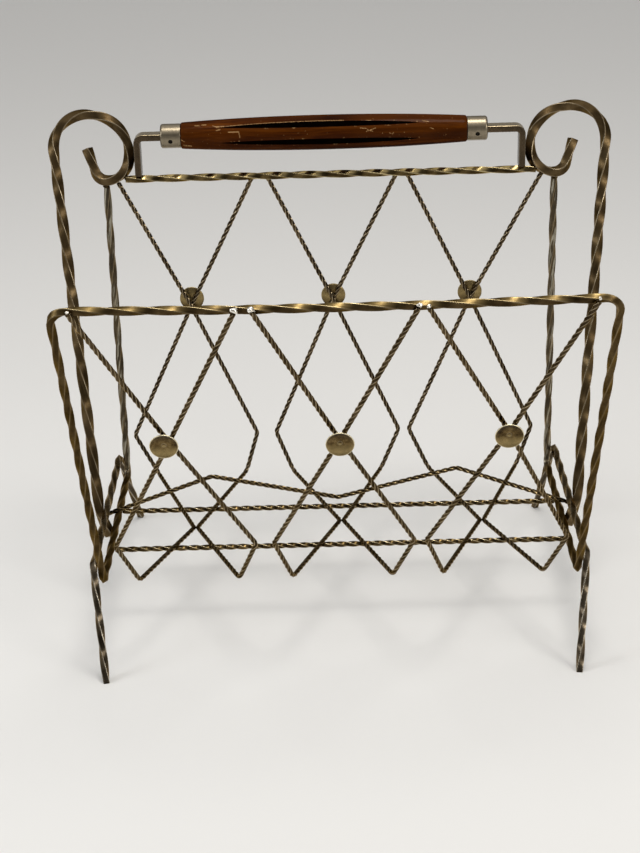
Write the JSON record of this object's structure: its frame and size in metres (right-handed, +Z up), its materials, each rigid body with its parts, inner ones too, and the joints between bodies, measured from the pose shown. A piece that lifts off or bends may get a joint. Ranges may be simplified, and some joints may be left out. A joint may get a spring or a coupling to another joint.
{
  "type": "magazine basket",
  "caption": "Open magazine basket of twisted square rod with a leaning lattice front, scrolled rear corners, splayed legs and a fluted wooden carrying grip.",
  "frame": {"origin": "middle of the overall box, on the ground under the four feet", "axes": "+X to the right seen from the front, +Y from the leaning front panel to the upright rear panel, +Z up"},
  "size_m": [0.4772, 0.4092, 0.3971],
  "materials": {
    "dark_rod": "antique, worn and polished, darker in the hollows",
    "bright_rod": "antique, golden on the edges",
    "lattice": "antique, dark",
    "medallion": "antique, dull",
    "ferrule": "satin, champagne coloured",
    "pin": "darkened",
    "wood": "red-brown gloss lacquer, chipped and scratched"
  },
  "bodies": {
    "root": {"basket_frame": "dark_rod", "rear_top_rail": "bright_rod", "scroll_arm_left": "dark_rod", "leg_frame_left": "dark_rod", "scroll_arm_right": "dark_rod", "leg_frame_right": "dark_rod", "floor_rail_front": "bright_rod", "floor_rail_rear": "bright_rod", "divider_wire": "bright_rod", "lattice_wire_left_a": "lattice", "lattice_wire_left_b": "lattice", "front_medallion_left": "medallion", "rear_medallion_left": "medallion", "lattice_wire_middle_a": "lattice", "lattice_wire_middle_b": "lattice", "front_medallion_middle": "medallion", "rear_medallion_middle": "medallion", "lattice_wire_right_a": "lattice", "lattice_wire_right_b": "lattice", "front_medallion_right": "medallion", "rear_medallion_right": "medallion", "handle_bracket_left": "dark_rod", "ferrule_left": "ferrule", "ferrule_pin_left": "pin", "handle_bracket_right": "dark_rod", "ferrule_right": "ferrule", "ferrule_pin_right": "pin", "wood_grip": "wood"}
  },
  "joints": []
}
